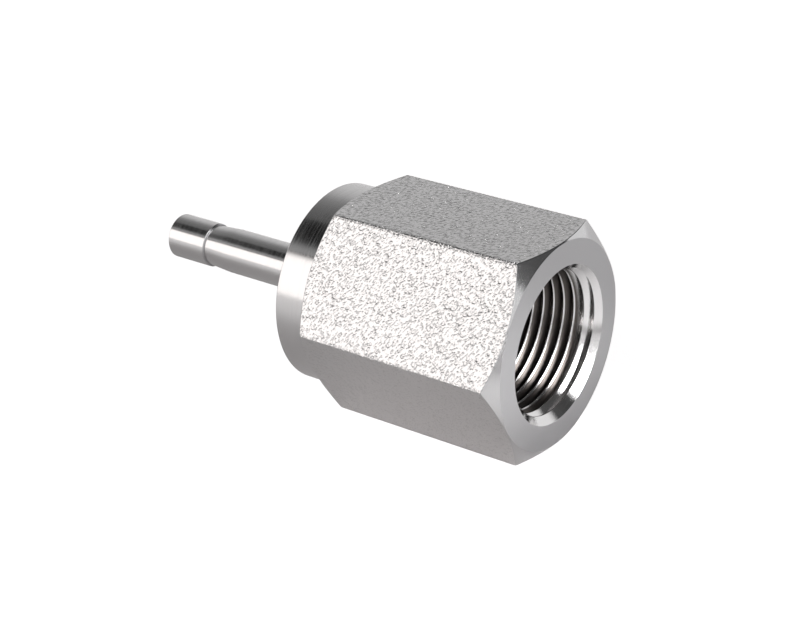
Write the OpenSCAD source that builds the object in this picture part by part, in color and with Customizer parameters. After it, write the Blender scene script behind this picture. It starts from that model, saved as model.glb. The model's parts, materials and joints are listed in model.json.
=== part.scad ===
// Female tube adapter: a parallel female thread in a hexagon, and a pre-grooved tube stub.
// It is turned in one piece from hexagon bar, and it lies on one of its flats.
// The axis is X. The origin is the centre of the port face, and the stub points along -X.

/* [Hexagon] */
// Width of the hexagon bar across its flats
hex_af = 27; // [25:0.5:36]
// Length from the port face to the end of the hexagon's rear chamfer
hex_len = 29.35; // [24:0.05:33]
// How far inside the flats the port face's flat ring ends
face_step = 0.15; // [0.05:0.05:1.5]
// Angle of both hexagon chamfers, measured from the end faces
chamfer_angle = 30; // [15:1:40]

/* [Collar] */
// How far the turned collar lies below the flats
collar_step = 0.5; // [0.1:0.1:2]
// Length from the port face to the back of the collar
body_len = 33.8; // [33.5:0.1:45]
// Edge break around the back of the collar
collar_break = 0.2; // [0.05:0.05:1]

/* [Tube stub] */
// Outside diameter of the tube stub
tube_d = 6; // [5.5:0.1:12]
// Length of the tube stub behind the collar
stub_len = 27; // [18:0.5:50]
// Diameter of the bore through the stub
bore_d = 4; // [2:0.1:4.4]
// Radius of the fillet where the stub leaves the collar
root_r = 0.8; // [0.2:0.1:2]
// Edge break around the free end of the stub
stub_break = 0.25; // [0.05:0.05:0.4]
// Edge break inside the free end of the stub
bore_break = 0.15; // [0.05:0.05:0.2]

/* [Ferrule groove] */
// Length of the full diameter land at the free end
land_len = 6.4; // [4:0.1:10]
// Depth of the groove at its shoulder
groove_depth = 0.26; // [0.2:0.01:0.4]
// Length over which the groove tapers back to the tube's diameter
groove_len = 3.5; // [1:0.1:6]
// Edge break on the land, at the shoulder
land_break = 0.12; // [0.04:0.02:0.18]

/* [Port] */
// Nominal diameter of the parallel thread
thread_d = 20; // [16:0.5:20.5]
// Pitch of the thread
pitch = 1.5; // [1:0.25:2]
// Length from the port face to the end of the thread
thread_len = 16.5; // [10:0.5:18]
// Length of the relief groove that the thread runs out into
relief_len = 3; // [2:0.5:5]
// How far the relief groove is cut past the thread's nominal radius
relief_gap = 0.2; // [0.1:0.05:0.5]
// How far the 45 degree countersink opens past the thread's nominal radius
mouth_gap = 0.15; // [0.1:0.05:0.5]

/* [Hidden] */
// Roundness of every turned surface
$fn = 96;
// How far a cutting shape runs past the face that it cuts
over = 1;

hex_corner_r = hex_af / 2 / cos(30);
face_r = hex_af / 2 - face_step;
collar_r = hex_af / 2 - collar_step;
chamfer_slope = tan(chamfer_angle);

overall_len = body_len + stub_len;
tube_r = tube_d / 2;
bore_r = bore_d / 2;
neck_r = tube_r - groove_depth;
shoulder_x = -(overall_len - land_len);

// The basic profile of a metric thread sets the bore that is drilled before tapping
thread_h = pitch * sqrt(3) / 2;
thread_r = thread_d / 2;
minor_r = thread_r - 5 / 8 * thread_h;
relief_r = thread_r + relief_gap;
mouth_r = thread_r + mouth_gap;
port_depth = thread_len + relief_len;

// Turns an outline of [radius, place along the axis] about the X axis
module turned() {
    rotate([0, 90, 0])
        rotate_extrude()
            children();
}

// The bar that the part is turned from, with flats at the top and the bottom
module hexagon_bar() {
    translate([-overall_len - over, 0, 0])
        rotate([0, 90, 0])
            rotate([0, 0, 30])
                linear_extrude(overall_len + 2 * over)
                    circle(r = hex_corner_r, $fn = 6);
}

// The double chamfered hexagon, up to a radius that clears its corners
module hexagon_outline() {
    clear_r = hex_corner_r + over;
    front_drop = (clear_r - face_r) * chamfer_slope;
    back_drop = (clear_r - collar_r) * chamfer_slope;
    polygon([
        [0, 0],
        [face_r, 0],
        [clear_r, -front_drop],
        [clear_r, back_drop - hex_len],
        [collar_r, -hex_len],
        [0, -hex_len]
    ]);
}

module collar_outline() {
    polygon([
        [0, -hex_len],
        [collar_r, -hex_len],
        [collar_r, collar_break - body_len],
        [collar_r - collar_break, -body_len],
        [0, -body_len]
    ]);
}

// The stub, with the tapered groove that takes the place of a swaged ferrule.
// It starts at a step as wide as the root fillet that is cut from it.
module stub_outline() {
    polygon([
        [0, -body_len],
        [tube_r + root_r, -body_len],
        [tube_r + root_r, -body_len - root_r],
        [tube_r, -body_len - root_r],
        [tube_r, shoulder_x + groove_len],
        [neck_r, shoulder_x],
        [tube_r - land_break, shoulder_x],
        [tube_r, shoulder_x - land_break],
        [tube_r, stub_break - overall_len],
        [tube_r - stub_break, -overall_len],
        [0, -overall_len]
    ]);
}

// Everything that the lathe leaves of the bar on the outside
module outside_outline() {
    difference() {
        union() {
            hexagon_outline();
            collar_outline();
            stub_outline();
        }
        translate([tube_r + root_r, -body_len - root_r])
            circle(r = root_r);
    }
}

// The port from its mouth inwards, tapping size only, and the bore on through the stub
module port_outline() {
    relief_start = thread_len - (relief_r - minor_r);
    polygon([
        [0, over],
        [mouth_r + over, over],
        [minor_r, minor_r - mouth_r],
        [minor_r, -relief_start],
        [relief_r, -thread_len],
        [relief_r, -port_depth],
        [bore_r, -port_depth],
        [bore_r, bore_break - overall_len],
        [bore_r + bore_break + over, -overall_len - over],
        [0, -overall_len - over]
    ]);
}

module adapter_body() {
    color([0.72, 0.72, 0.71])
        difference() {
            intersection() {
                hexagon_bar();
                turned()
                    outside_outline();
            }
            turned()
                port_outline();
        }
}

adapter_body();
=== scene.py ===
"""The dressed female tube adapter: its threaded port, steel finishes, studio light and camera."""

import json
import math

import bmesh
import bpy
from mathutils import Matrix, Vector


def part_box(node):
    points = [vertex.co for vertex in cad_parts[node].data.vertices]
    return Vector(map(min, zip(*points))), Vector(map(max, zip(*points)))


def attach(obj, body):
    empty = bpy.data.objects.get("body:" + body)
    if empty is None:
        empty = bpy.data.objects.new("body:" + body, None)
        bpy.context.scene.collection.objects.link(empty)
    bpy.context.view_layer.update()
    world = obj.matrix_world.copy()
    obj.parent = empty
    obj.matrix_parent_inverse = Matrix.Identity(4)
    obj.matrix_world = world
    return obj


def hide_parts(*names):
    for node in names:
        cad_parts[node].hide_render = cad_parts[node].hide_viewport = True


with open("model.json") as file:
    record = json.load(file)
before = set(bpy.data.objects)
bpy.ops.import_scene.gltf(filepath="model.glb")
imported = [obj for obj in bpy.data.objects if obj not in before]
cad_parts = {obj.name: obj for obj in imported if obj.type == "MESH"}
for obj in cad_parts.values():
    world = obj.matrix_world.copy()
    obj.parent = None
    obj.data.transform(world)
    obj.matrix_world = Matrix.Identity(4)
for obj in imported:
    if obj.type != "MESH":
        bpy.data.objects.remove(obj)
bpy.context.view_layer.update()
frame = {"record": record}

NODE = "adapter_body"
MM = 0.001
MOUNTS = {mount["name"]: mount for mount in frame["record"]["mounts"]}
LOW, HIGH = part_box(NODE)

# Sizes in millimetres, along the axis from the port face and out from the axis.
# The frame gives these, and the ones below repeat the part's source.
OVERALL_LEN = -LOW.x / MM
HEX_AF = (HIGH.z - LOW.z) / MM
TUBE_R = MOUNTS["tube_end"]["dims"]["r_mm"]
BORE_R = MOUNTS["flow_bore"]["dims"]["r_mm"]
MINOR_R = MOUNTS["female_port"]["dims"]["r_mm"]

# Hexagon and collar
HEX_LEN = 29.35
FACE_STEP = 0.15
FACE_R = HEX_AF / 2 - FACE_STEP
CHAMFER_ANGLE = math.radians(30)
CHAMFER_SLOPE = math.tan(CHAMFER_ANGLE)
BODY_LEN = 33.8
COLLAR_STEP = 0.5
COLLAR_R = HEX_AF / 2 - COLLAR_STEP
COLLAR_BREAK = 0.2

# Tube stub and ferrule groove
ROOT_R = 0.8
LAND_LEN = 6.4
GROOVE_LEN = 3.5
GROOVE_DEPTH = 0.26
LAND_BREAK = 0.12
STUB_BREAK = 0.25
BORE_BREAK = 0.15

# Port
PITCH = 1.5
THREAD_R = 10.0
THREAD_LEN = 16.5
RELIEF_LEN = 3.0
PORT_DEPTH = THREAD_LEN + RELIEF_LEN
RELIEF_GAP = 0.2
RELIEF_R = THREAD_R + RELIEF_GAP
MOUTH_GAP = 0.15
MOUTH_R = THREAD_R + MOUTH_GAP

# What only the dressed part has: rounds on the hexagon's corners and on the edges of its chamfers
CORNER_ROUND = 0.3
EDGE_ROUND = 0.05

# Where the inner edge of a crest lies on the +Y side of the port, as in the photograph
CREST_X = -2.16
# Tilts in the thread's section, in degrees from the axis. Towards the mouth a crest is rounded from
# its own tilt to the flank's. The flank on its other side ends in a plain edge.
CREST_TILT = 15
FLANK_TILT = 48
BACK_TILT = 60
CREST_ROUND = 0.16
# Where the groove starts to run out towards the mouth, and where it has ended, at its inner crest
FADE_START = -1.70
FADE_END = -1.33

SIDES = 6
# The angle in degrees that half a side of the hexagon takes up, as seen from the axis
HALF_SIDE = 180 // SIDES
# How finely the mesh is cut: degrees from column to column, and steps of each round
COLUMN_STEP = 2
ROOT_STEPS = 20
CREST_STEPS = 4
# Turns by which the rows run on past each end of the thread. They fall onto its end and merge there.
SPARE_TURNS = 2
# Vertices closer than this, in millimetres, become one
MERGE_DISTANCE = 0.0002
# Edges are shaded smooth up to these angles in degrees, beside a flat and elsewhere
FLAT_SMOOTH_ANGLE = 1
TURNED_SMOOTH_ANGLE = 20

DRAWN, TURNED, CHAMFERED, FACED, THREADED = range(5)


def column_angles():
    """Angles about the axis in degrees: even steps, and closer ones around the hexagon's corners."""
    side = 2 * HALF_SIDE
    flat_end = math.atan((1 - 2 * CORNER_ROUND / HEX_AF) * math.tan(math.radians(HALF_SIDE)))
    edge = HALF_SIDE - math.degrees(flat_end)
    around = [-edge, -edge / 2, 0, edge / 2, edge] + list(range(COLUMN_STEP, side, COLUMN_STEP))
    return [side * corner + step for corner in range(SIDES) for step in around]


def hexagon_r(angle):
    """Distance from the axis to the hexagon, with its corners rounded off."""
    half_side = math.radians(HALF_SIDE)
    off_corner = math.radians((angle + HALF_SIDE) % (2 * HALF_SIDE) - HALF_SIDE)
    off_flat = half_side - abs(off_corner)
    centre = (HEX_AF / 2 - CORNER_ROUND) / math.cos(half_side)
    flat = HEX_AF / 2 / math.cos(off_flat)
    if flat * math.sin(off_flat) <= centre * math.sin(half_side):
        return flat
    beyond = math.sqrt(CORNER_ROUND ** 2 - (centre * math.sin(off_corner)) ** 2)
    return centre * math.cos(off_corner) + beyond


def plain_ring(x, r):
    """A ring with the same place along the axis and the same radius at every angle."""
    return lambda angle: (x, r)


def chamfered_ring(start_x, start_r, direction, inset_x, inset_r):
    """A ring along the edge where a chamfer cone meets the flats, moved by a part of its round.
    The cone starts at start_x and start_r. Its direction is 1 in front, and -1 at the back."""
    def place(angle):
        r = hexagon_r(angle)
        x = start_x - direction * (r - start_r) * CHAMFER_SLOPE
        return x - direction * inset_x, r - inset_r
    return place


def outside_rings():
    """(ring, finish of the band that follows it) from the mouth, over the outside, to the bore."""
    shoulder = LAND_LEN - OVERALL_LEN
    slope_x = EDGE_ROUND * math.sin(CHAMFER_ANGLE)
    slope_r = EDGE_ROUND * math.cos(CHAMFER_ANGLE)
    rings = [
        (plain_ring(0, MOUTH_R), FACED),
        (plain_ring(0, FACE_R), CHAMFERED),
        (chamfered_ring(0, FACE_R, 1, -slope_x, slope_r), CHAMFERED),
        (chamfered_ring(0, FACE_R, 1, EDGE_ROUND, 0), DRAWN),
        (chamfered_ring(-HEX_LEN, COLLAR_R, -1, EDGE_ROUND, 0), CHAMFERED),
        (chamfered_ring(-HEX_LEN, COLLAR_R, -1, -slope_x, slope_r), CHAMFERED),
        (plain_ring(-HEX_LEN, COLLAR_R), TURNED),
        (plain_ring(COLLAR_BREAK - BODY_LEN, COLLAR_R), TURNED),
        (plain_ring(-BODY_LEN, COLLAR_R - COLLAR_BREAK), FACED),
    ]
    for step in range(ROOT_STEPS + 1):
        turn = math.radians(90 * step / ROOT_STEPS)
        x = -BODY_LEN - ROOT_R * (1 - math.cos(turn))
        r = TUBE_R + ROOT_R * (1 - math.sin(turn))
        rings.append((plain_ring(x, r), TURNED))
    return rings + [
        (plain_ring(shoulder + GROOVE_LEN, TUBE_R), TURNED),
        (plain_ring(shoulder, TUBE_R - GROOVE_DEPTH), FACED),
        (plain_ring(shoulder, TUBE_R - LAND_BREAK), FACED),
        (plain_ring(shoulder - LAND_BREAK, TUBE_R), TURNED),
        (plain_ring(STUB_BREAK - OVERALL_LEN, TUBE_R), TURNED),
        (plain_ring(-OVERALL_LEN, TUBE_R - STUB_BREAK), FACED),
        (plain_ring(-OVERALL_LEN, BORE_R + BORE_BREAK), TURNED),
        (plain_ring(BORE_BREAK - OVERALL_LEN, BORE_R), TURNED),
        (plain_ring(-PORT_DEPTH, BORE_R), FACED),
        (plain_ring(-PORT_DEPTH, RELIEF_R), TURNED),
    ]


def countersink_r(x):
    """Radius of the 45 degree cone that opens the mouth."""
    return MOUTH_R + x


def runout_r(x):
    """Radius of the 45 degree cone from the end of the thread into the relief groove."""
    return RELIEF_R - THREAD_LEN - x


def thread_profile():
    """Corners of one turn of the thread, as (distance along the axis, radius), from a crest's inner
    edge over its rounded shoulder and the root to the next crest."""
    crest_tilt = math.radians(CREST_TILT)
    flank_tilt = math.radians(FLANK_TILT)
    corners = []
    for step in range(CREST_STEPS + 1):
        tilt = crest_tilt + (flank_tilt - crest_tilt) * step / CREST_STEPS
        along = CREST_ROUND * (math.sin(tilt) - math.sin(crest_tilt))
        rise = CREST_ROUND * (math.cos(crest_tilt) - math.cos(tilt))
        corners.append((along, MINOR_R + rise))
    shoulder, shoulder_r = corners[-1]
    root_start = shoulder + (THREAD_R - shoulder_r) / math.tan(flank_tilt)
    root_end = PITCH - (THREAD_R - MINOR_R) / math.tan(math.radians(BACK_TILT))
    return corners + [(root_start, THREAD_R), (root_end, THREAD_R)]


PROFILE = thread_profile()
ROWS_PER_TURN = 2 * len(PROFILE)


def thread_corner(angle, count):
    """A corner of the thread at that angle, where count numbers them from the relief to the mouth."""
    turn, corner = divmod(count, len(PROFILE))
    along, radius = PROFILE[corner]
    turns_inside = math.ceil((THREAD_LEN + CREST_X) / PITCH)
    first = CREST_X - PITCH * (turns_inside + SPARE_TURNS)
    crest = first + PITCH * (turn + angle / 360)
    share = min(max((FADE_END - crest) / (FADE_END - FADE_START), 0), 1)
    return crest + along, MINOR_R + share * (radius - MINOR_R)


def thread_row(angle, row):
    """A point of the thread's surface: even rows are its corners, and odd rows lie between them,
    where the thread meets the countersink or the run-out if it does so there."""
    x, r = thread_corner(angle, row // 2)
    if row % 2:
        next_x, next_r = thread_corner(angle, row // 2 + 1)
        part = 0.5
        for wall in (countersink_r, runout_r):
            gap = r - wall(x)
            next_gap = next_r - wall(next_x)
            if gap * next_gap < 0:
                part = gap / (gap - next_gap)
        x += part * (next_x - x)
        r += part * (next_r - r)
    x = min(max(x, -THREAD_LEN), 0)
    if x in (0, -THREAD_LEN):
        return x, max(countersink_r(x), runout_r(x))
    return x, max(r, countersink_r(x), runout_r(x))


def build_adapter():
    """One closed mesh: rings around the outside and the bore, and helical rows in the port."""
    rings = outside_rings()
    rows = ROWS_PER_TURN * (math.ceil(THREAD_LEN / PITCH) + 2 * SPARE_TURNS)
    finishes = [finish for ring, finish in rings] + [THREADED] * rows
    size = len(finishes)
    bm = bmesh.new()

    def vertex(place, angle):
        x, r = place
        turn = math.radians(angle)
        return bm.verts.new((x * MM, r * math.cos(turn) * MM, r * math.sin(turn) * MM))

    def a_turn_on(at):
        """Where a row that reaches the last column goes on in the first one."""
        return at if at < len(rings) else min(at + ROWS_PER_TURN, size - 1)

    grid = []
    for angle in column_angles():
        column = [vertex(ring(angle), angle) for ring, finish in rings]
        column += [vertex(thread_row(angle, row), angle) for row in range(rows)]
        grid.append(column)
    seam = [grid[0][a_turn_on(at)] for at in range(size)]
    for column, beside in zip(grid, grid[1:] + [seam]):
        for place, finish in enumerate(finishes):
            follows = (place + 1) % size
            corners = [column[place], beside[place], beside[follows], column[follows]]
            bm.faces.new(list(dict.fromkeys(corners))).material_index = finish

    bmesh.ops.remove_doubles(bm, verts=bm.verts, dist=MERGE_DISTANCE * MM)
    bmesh.ops.recalc_face_normals(bm, faces=bm.faces)
    for face in bm.faces:
        face.smooth = True
    for edge in bm.edges:
        drawn = any(face.material_index == DRAWN for face in edge.link_faces)
        limit = FLAT_SMOOTH_ANGLE if drawn else TURNED_SMOOTH_ANGLE
        edge.smooth = edge.calc_face_angle() < math.radians(limit)

    mesh = bpy.data.meshes.new("adapter")
    bm.to_mesh(mesh)
    bm.free()
    adapter = bpy.data.objects.new("adapter", mesh)
    bpy.context.scene.collection.objects.link(adapter)
    return adapter


class Nodes:
    """Short names for the nodes of one tree. A value is a number, a vector or another node's output."""

    def __init__(self, tree):
        self.tree = tree

    def feed(self, socket, value):
        if isinstance(value, bpy.types.NodeSocket):
            self.tree.links.new(value, socket)
        else:
            socket.default_value = value

    def node(self, kind, values=None, **settings):
        """A new node with those settings, and values for its inputs by their name or number."""
        node = self.tree.nodes.new(kind)
        for name, setting in settings.items():
            setattr(node, name, setting)
        for name, value in (values or {}).items():
            self.feed(node.inputs[name], value)
        return node

    def math(self, operation, *values):
        return self.node("ShaderNodeMath", dict(enumerate(values)), operation=operation).outputs[0]

    def vector(self, operation, *values):
        """A vector, or a number where the operation gives one."""
        node = self.node("ShaderNodeVectorMath", dict(enumerate(values)), operation=operation)
        gives_number = operation in ("DISTANCE", "DOT_PRODUCT")
        return node.outputs["Value" if gives_number else "Vector"]

    def scaled(self, vector, factor):
        values = {0: vector, "Scale": factor}
        return self.node("ShaderNodeVectorMath", values, operation="SCALE").outputs["Vector"]

    def ramp(self, value, low, high, start=0.0, end=1.0):
        """start below low, end above high, and smooth between them."""
        values = {"Value": value, "From Min": low, "From Max": high, "To Min": start, "To Max": end}
        node = self.node("ShaderNodeMapRange", values, interpolation_type="SMOOTHSTEP")
        return node.outputs[0]

    def levels(self, value, points):
        """Grey levels, eased between points of (value, level)."""
        node = self.node("ShaderNodeValToRGB", {0: value})
        node.color_ramp.interpolation = "EASE"
        stops = node.color_ramp.elements
        while len(stops) < len(points):
            stops.new(0.5)
        for stop, (at, level) in zip(stops, points):
            stop.position = at
            stop.color = (level, level, level, 1)
        return node.outputs[0]

    def noise(self, place, scale, detail=2.0, roughness=0.5, output="Fac"):
        values = {"Vector": place, "Scale": scale, "Detail": detail, "Roughness": roughness}
        return self.node("ShaderNodeTexNoise", values).outputs[output]

    def place(self, kind):
        return self.node("ShaderNodeTexCoord").outputs[kind]

    def millimetres(self):
        """Places on the object in millimetres."""
        return self.scaled(self.place("Object"), 1 / MM)

    def separate(self, vector):
        return self.node("ShaderNodeSeparateXYZ", {0: vector}).outputs

    def combine(self, *parts):
        return self.node("ShaderNodeCombineXYZ", dict(enumerate(parts))).outputs[0]

    def light_path(self):
        return self.node("ShaderNodeLightPath").outputs


class Material(Nodes):
    """A node material around one Principled shader."""

    def __init__(self, name, colour, roughness):
        self.material = bpy.data.materials.new(name)
        self.material.use_nodes = True
        super().__init__(self.material.node_tree)
        self.inputs = self.tree.nodes["Principled BSDF"].inputs
        self.inputs["Base Color"].default_value = colour
        self.inputs["Roughness"].default_value = roughness


# The blur of turned metal lies across its marks, so it is turned by this share of a turn
QUARTER_TURN = 0.25


class Finish(Material):
    """Bare metal on the part, with relief, and with places measured along and around the axis."""

    def __init__(self, name, colour, roughness, anisotropy=0.0):
        super().__init__(name, colour, roughness)
        self.inputs["Metallic"].default_value = 1
        self.inputs["Anisotropic"].default_value = anisotropy
        if anisotropy:
            self.inputs["Anisotropic Rotation"].default_value = QUARTER_TURN
            tangent = self.node("ShaderNodeTangent", direction_type="RADIAL", axis="X")
            self.feed(self.inputs["Tangent"], tangent.outputs[0])
        self.place_mm = self.millimetres()
        self.x, y, z = self.separate(self.place_mm)
        squares = self.math("ADD", self.math("MULTIPLY", y, y), self.math("MULTIPLY", z, z))
        self.radius = self.math("POWER", squares, 0.5)
        self.angle = self.math("ARCTAN2", z, y)

    def pits(self, place, spacing, size, wall):
        """1 inside scattered round pits, 0 outside. Size and wall are shares of the spacing."""
        values = {"Vector": place, "Scale": 1 / spacing}
        cells = self.node("ShaderNodeTexVoronoi", values, feature="F1")
        return self.ramp(cells.outputs["Distance"], size - wall, size, 1.0, 0.0)

    def bump(self, height, depth):
        """A height of 1 becomes relief that many millimetres high, on top of the relief so far."""
        values = {"Strength": 1, "Distance": depth * MM, "Height": height}
        node = self.node("ShaderNodeBump", values)
        normal = self.inputs["Normal"]
        if normal.links:
            self.feed(node.inputs["Normal"], normal.links[0].from_socket)
        self.feed(normal, node.outputs[0])

    def turning_marks(self, per_mm, per_radian, depth, roughness=0.6):
        """Relief of marks around the axis: how many per millimetre across, and per radian along them."""
        sideways = self.vector("NORMALIZE", self.vector("MULTIPLY", self.place_mm, (0, 1, 1)))
        along = self.scaled(sideways, per_radian)
        across = self.math("MULTIPLY", self.math("ADD", self.x, self.radius), per_mm)
        place = self.vector("ADD", along, self.combine(across))
        marks = self.noise(place, 1, 3, roughness)
        self.bump(marks, depth)
        return marks


STEEL = (0.70, 0.69, 0.69, 1)
FACED_STEEL = (0.525, 0.52, 0.53, 1)
CHAMFERED_STEEL = (0.57, 0.565, 0.57, 1)
# A dark brownish steel, painted into the thread's roots as shade
GROOVE_SHADE_STEEL = (0.09, 0.08, 0.075, 1)

# The skin of the drawn flats, in millimetres
LARGE_PIT_DEPTH = 0.036
SMALL_PIT_DEPTH = 0.016
STROKE_HEIGHT = 0.052
NIBBLE_DEPTH = 0.04
# How far the strokes move along the axis for each millimetre around it
STROKE_SLANT = 1.1
# How far noise shifts the pits, so that they aren't round
PIT_WANDER = 0.34


def drawn_flats():
    """The skin of drawn bar: pits of two sizes, slanting strokes, and corners bitten off in places."""
    finish = Finish("drawn_flats", STEEL, 0.13)
    place = finish.place_mm
    wander = finish.noise(place, 4, output="Color")
    bent = finish.vector("MULTIPLY_ADD", wander, (PIT_WANDER, PIT_WANDER, PIT_WANDER), place)
    large_pits = finish.pits(bent, spacing=0.90, size=0.36, wall=0.16)
    small_pits = finish.pits(bent, spacing=0.50, size=0.24, wall=0.18)

    around = finish.math("MULTIPLY", finish.angle, HEX_AF / 2)
    across = finish.math("MULTIPLY_ADD", finish.x, STROKE_SLANT, around)
    along = finish.math("MULTIPLY_ADD", around, -STROKE_SLANT, finish.x)
    per_mm = (3.1, 1.3, 1)
    slanted = finish.vector("MULTIPLY", finish.combine(across, along), per_mm)
    strokes = finish.ramp(finish.noise(slanted, 1, detail=1), 0.52, 0.72)

    corner_r = HEX_AF / 2 / math.cos(math.radians(HALF_SIDE))
    near_corner = finish.ramp(finish.radius, corner_r - 0.25, corner_r - 0.06)
    bites = finish.ramp(finish.noise(place, 3.4), 0.46, 0.54)
    nibbles = finish.math("MULTIPLY", bites, near_corner)

    relief = 0
    for pattern, height in (
        (large_pits, -LARGE_PIT_DEPTH),
        (small_pits, -SMALL_PIT_DEPTH),
        (strokes, STROKE_HEIGHT),
        (nibbles, -NIBBLE_DEPTH),
    ):
        relief = finish.math("MULTIPLY_ADD", pattern, height, relief)
    finish.bump(relief, 1)
    return finish.material


def turned_finish(name, colour, smooth, rough, anisotropy):
    """Turning marks, from smooth to rough, on metal that blurs reflections across them."""
    finish = Finish(name, colour, smooth, anisotropy)
    marks = finish.turning_marks(per_mm=4.5, per_radian=1.2, depth=0.008, roughness=0.7)
    finish.feed(finish.inputs["Roughness"], finish.ramp(marks, 0.35, 0.65, smooth, rough))
    return finish.material


def turned_steel():
    return turned_finish("turned_steel", STEEL, smooth=0.14, rough=0.24, anisotropy=0.8)


def chamfered_steel():
    return turned_finish("chamfered_steel", CHAMFERED_STEEL, smooth=0.11, rough=0.13, anisotropy=0.4)


def faced_steel():
    """The faced ends, with faint rings and an even satin."""
    finish = Finish("faced_steel", FACED_STEEL, roughness=0.30, anisotropy=0.3)
    finish.turning_marks(per_mm=7, per_radian=1, depth=0.002)
    return finish.material


def threaded_steel():
    """The thread and the countersink: bright crests over flanks and roots, with painted shade that
    darkens the roots deeper in the port.
    """
    finish = Finish("threaded_steel", STEEL, roughness=0.17, anisotropy=0.5)
    # Painted shade: the colour turns to that dark steel in the roots deeper in the port, where shade
    # falls, and the roughness follows the same mask
    groove = finish.ramp(finish.radius, MINOR_R + 0.06, MINOR_R + 0.2)
    inside = finish.ramp(finish.x, CREST_X - 1.2, CREST_X - 0.7, 1.0, 0.0)
    groove_shade = finish.math("MULTIPLY", groove, inside)
    painted_groove_shade = finish.node(
        "ShaderNodeMix", {"Factor": groove_shade, "A": STEEL, "B": GROOVE_SHADE_STEEL}, data_type="RGBA"
    )
    finish.feed(finish.inputs["Base Color"], painted_groove_shade.outputs["Result"])
    finish.feed(finish.inputs["Roughness"], finish.ramp(groove_shade, 0, 1, 0.12, 0.28))
    finish.turning_marks(per_mm=5, per_radian=3, depth=0.007)
    finish.turning_marks(per_mm=3, per_radian=20, depth=0.005)
    return finish.material


def aim(azimuth, elevation):
    """The direction at that azimuth from +X towards +Y, and that height, both in degrees."""
    turn = math.radians(azimuth)
    rise = math.radians(elevation)
    return Vector((math.cos(rise) * math.cos(turn), math.cos(rise) * math.sin(turn), math.sin(rise)))


def plate(name, half_width, half_height, z=0):
    """A flat rectangle in the scene, level and centred on the Z axis."""
    mesh = bpy.data.meshes.new(name)
    signs = [(-1, -1), (1, -1), (1, 1), (-1, 1)]
    mesh.from_pydata([(x * half_width, y * half_height, z) for x, y in signs], [], [(0, 1, 2, 3)])
    rectangle = bpy.data.objects.new(name, mesh)
    bpy.context.scene.collection.objects.link(rectangle)
    return rectangle


WHITE = (1, 1, 1, 1)
WARM_WHITE = (1, 0.965, 0.945, 1)
# From the middle of the part to each softbox, in metres
CARD_DISTANCE = 0.8


def softbox(
    name, azimuth, elevation, width, height, radiance,
    fade=0.1, roll=0, colour=WHITE, mirrored_only=False,
):
    """A glowing card that faces the part, hidden from the camera. Width and height are angles in
    degrees, as seen from the part, and roll turns the card about the line to it. It dims to nothing
    over the fade, a share of its height at its top."""
    half_width = CARD_DISTANCE * math.tan(math.radians(width / 2))
    half_height = CARD_DISTANCE * math.tan(math.radians(height / 2))
    card = plate(name, half_width, half_height)
    direction = aim(azimuth, elevation)
    facing_part = direction.to_track_quat("Z", "Y").to_matrix()
    rolled = facing_part @ Matrix.Rotation(math.radians(roll), 3, "Z")
    card.rotation_euler = rolled.to_euler()
    card.location = Vector((LOW.x / 2, 0, 0)) + CARD_DISTANCE * direction
    card.visible_camera = False
    card.visible_shadow = False
    card.visible_diffuse = not mirrored_only

    material = bpy.data.materials.new(name)
    material.use_nodes = True
    nodes = Nodes(material.node_tree)
    nodes.tree.nodes.remove(nodes.tree.nodes["Principled BSDF"])
    up = nodes.separate(nodes.place("Generated"))["Y"]
    strength = nodes.ramp(up, 1 - fade, 1, radiance, 0)
    glow = nodes.node("ShaderNodeEmission", {"Color": colour, "Strength": strength})
    nodes.feed(nodes.tree.nodes["Material Output"].inputs["Surface"], glow.outputs[0])
    card.data.materials.append(material)


def studio():
    """Softboxes in a grey room: a wide key, a fill, a small strong one that reaches into the port,
    and a strip along the back. The room is dark overhead, on one side and in a gap above the key,
    and the camera sees it white."""
    softbox(
        "key_box", azimuth=-122, elevation=19.5, width=68, height=44, radiance=1.56,
        fade=0.15, roll=20, colour=WARM_WHITE,
    )
    softbox(
        "fill_box", azimuth=-22, elevation=25, width=72, height=50, radiance=0.95,
        mirrored_only=True,
    )
    softbox(
        "port_box", azimuth=-6, elevation=22, width=45, height=17, radiance=15,
        roll=41, mirrored_only=True,
    )
    softbox(
        "back_strip", azimuth=76, elevation=15, width=38, height=32, radiance=1.0,
        fade=0.4,
    )

    world = bpy.data.worlds.new("studio")
    bpy.context.scene.world = world
    world.use_nodes = True
    nodes = Nodes(world.node_tree)
    direction = nodes.place("Generated")
    height = nodes.separate(direction)["Z"]
    to_dark_side = nodes.vector("DOT_PRODUCT", direction, aim(30, 30))
    to_dark_gap = nodes.vector("DOT_PRODUCT", direction, aim(-159, 53))
    wall = nodes.levels(
        height, [(0, 0.68), (0.3, 0.66), (0.5, 0.55), (0.68, 0.24), (0.81, 0.16), (0.86, 0.02)]
    )
    dark_side = nodes.levels(to_dark_side, [(0.3, 1), (0.75, 0.16)])
    dark_gap = nodes.levels(to_dark_gap, [(0.955, 1), (0.986, 0.05)])
    room = nodes.math("MULTIPLY", nodes.math("MULTIPLY", wall, dark_side), dark_gap)
    to_camera = nodes.light_path()["Is Camera Ray"]
    level = nodes.node("ShaderNodeMix", {"Factor": to_camera, "A": room, "B": 1}, data_type="FLOAT")
    background = nodes.tree.nodes["Background"]
    background.inputs["Color"].default_value = WHITE
    nodes.feed(background.inputs["Strength"], level.outputs["Result"])


# Half a side of the table top, in metres
TABLE_REACH = 1.5
# The table's own light towards the camera, on top of what it gets from the softboxes
TABLE_GLOW = 0.85


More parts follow.
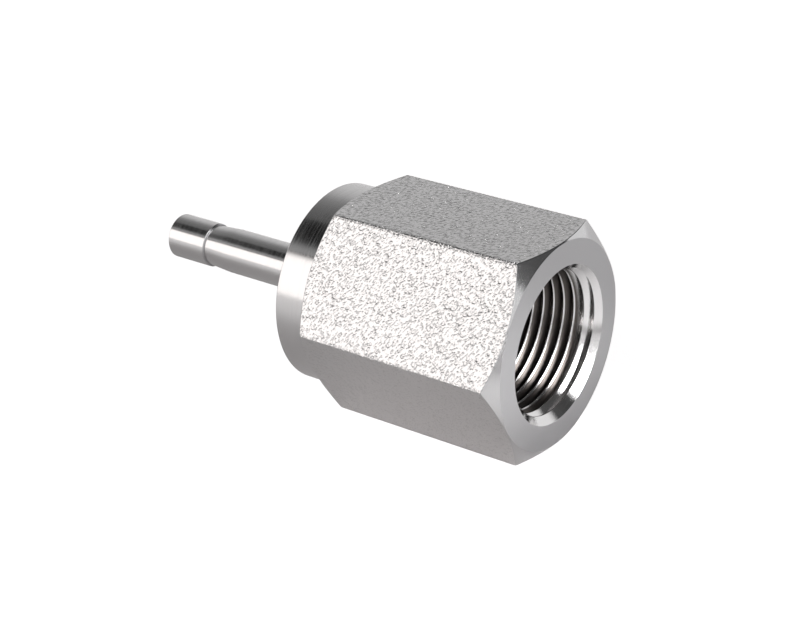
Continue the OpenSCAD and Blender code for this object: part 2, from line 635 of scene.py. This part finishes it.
def pale_floor():
    """A white table top under the part. Its own light reaches only the camera and mirror-like rays, and
    what the mirror-like rays see of it is a painted shadow and a painted pool of light.
    """
    floor = plate("floor", TABLE_REACH, TABLE_REACH, LOW.z)
    table = Material("white_table", (0.8, 0.78, 0.785, 1), 0.5)
    table.inputs["Specular IOR Level"].default_value = 0.05

    # Painted for mirror-like rays: a painted shadow that is dim under the part and lighter on both
    # sides, and a painted pool of light by the port
    place = table.millimetres()
    parts = table.separate(place)
    painted_shadow_level = table.ramp(table.math("ABSOLUTE", parts["Y"]), 10, 60, 0.10, 0.46)
    squashed = table.vector("MULTIPLY", place, (1, 0.8, 0))
    from_light_pool = table.vector("DISTANCE", squashed, (22, 4, 0))
    painted_light_pool = table.ramp(from_light_pool, 9, 35, 0.7, 0)
    before_port = table.ramp(parts["X"], -8, 14)
    painted_mirror_light = table.math("MULTIPLY_ADD", painted_light_pool, before_port, painted_shadow_level)

    path = table.light_path()
    light = table.math("MULTIPLY", path["Is Camera Ray"], TABLE_GLOW)
    # Mirror-like and transmission rays see the painted shadow and pool of light as the table's own light
    for ray in ("Is Glossy Ray", "Is Transmission Ray"):
        light = table.math("MULTIPLY_ADD", path[ray], painted_mirror_light, light)
    table.inputs["Emission Color"].default_value = WHITE
    table.feed(table.inputs["Emission Strength"], light)
    floor.data.materials.append(table.material)


# The photograph's camera, in degrees and millimetres. Its azimuth counts from -Y towards +X, and it
# is shifted to the right and up from the line that runs out from the centre of the port face.
CAMERA_AZIMUTH = 36.224
CAMERA_ELEVATION = 26.215
CAMERA_ROLL = -1.229
CAMERA_DISTANCE = 231.283
CAMERA_RIGHT = -19.361
CAMERA_UP = 3.087
# Its focal length and the width of its frame, both in pixels
FOCAL_PIXELS = 1912.826
FRAME_WIDTH = 800
SENSOR_WIDTH = 36
# Nothing nearer than this shows, in metres
NEAREST = 0.01


def camera():
    """The camera from which the render lines up with the photograph."""
    back = aim(CAMERA_AZIMUTH - 90, CAMERA_ELEVATION)
    level = aim(CAMERA_AZIMUTH, 0)
    upright = back.cross(level)
    roll = math.radians(CAMERA_ROLL)
    right = math.cos(roll) * level + math.sin(roll) * upright
    up = math.cos(roll) * upright - math.sin(roll) * level
    place = (CAMERA_DISTANCE * back + CAMERA_RIGHT * right + CAMERA_UP * up) * MM
    lens = bpy.data.cameras.new("camera")
    lens.sensor_width = SENSOR_WIDTH
    lens.lens = SENSOR_WIDTH * FOCAL_PIXELS / FRAME_WIDTH
    lens.clip_start = NEAREST
    view = bpy.data.objects.new("camera", lens)
    view.matrix_world = Matrix.Translation(place) @ Matrix((right, up, back)).transposed().to_4x4()
    bpy.context.scene.collection.objects.link(view)
    bpy.context.scene.camera = view


adapter = build_adapter()
# The slots follow the order of DRAWN, TURNED, CHAMFERED, FACED and THREADED
for make in (drawn_flats, turned_steel, chamfered_steel, faced_steel, threaded_steel):
    adapter.data.materials.append(make())
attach(adapter, "root")
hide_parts(NODE)
studio()
pale_floor()
camera()
bpy.context.scene.view_settings.view_transform = "Standard"
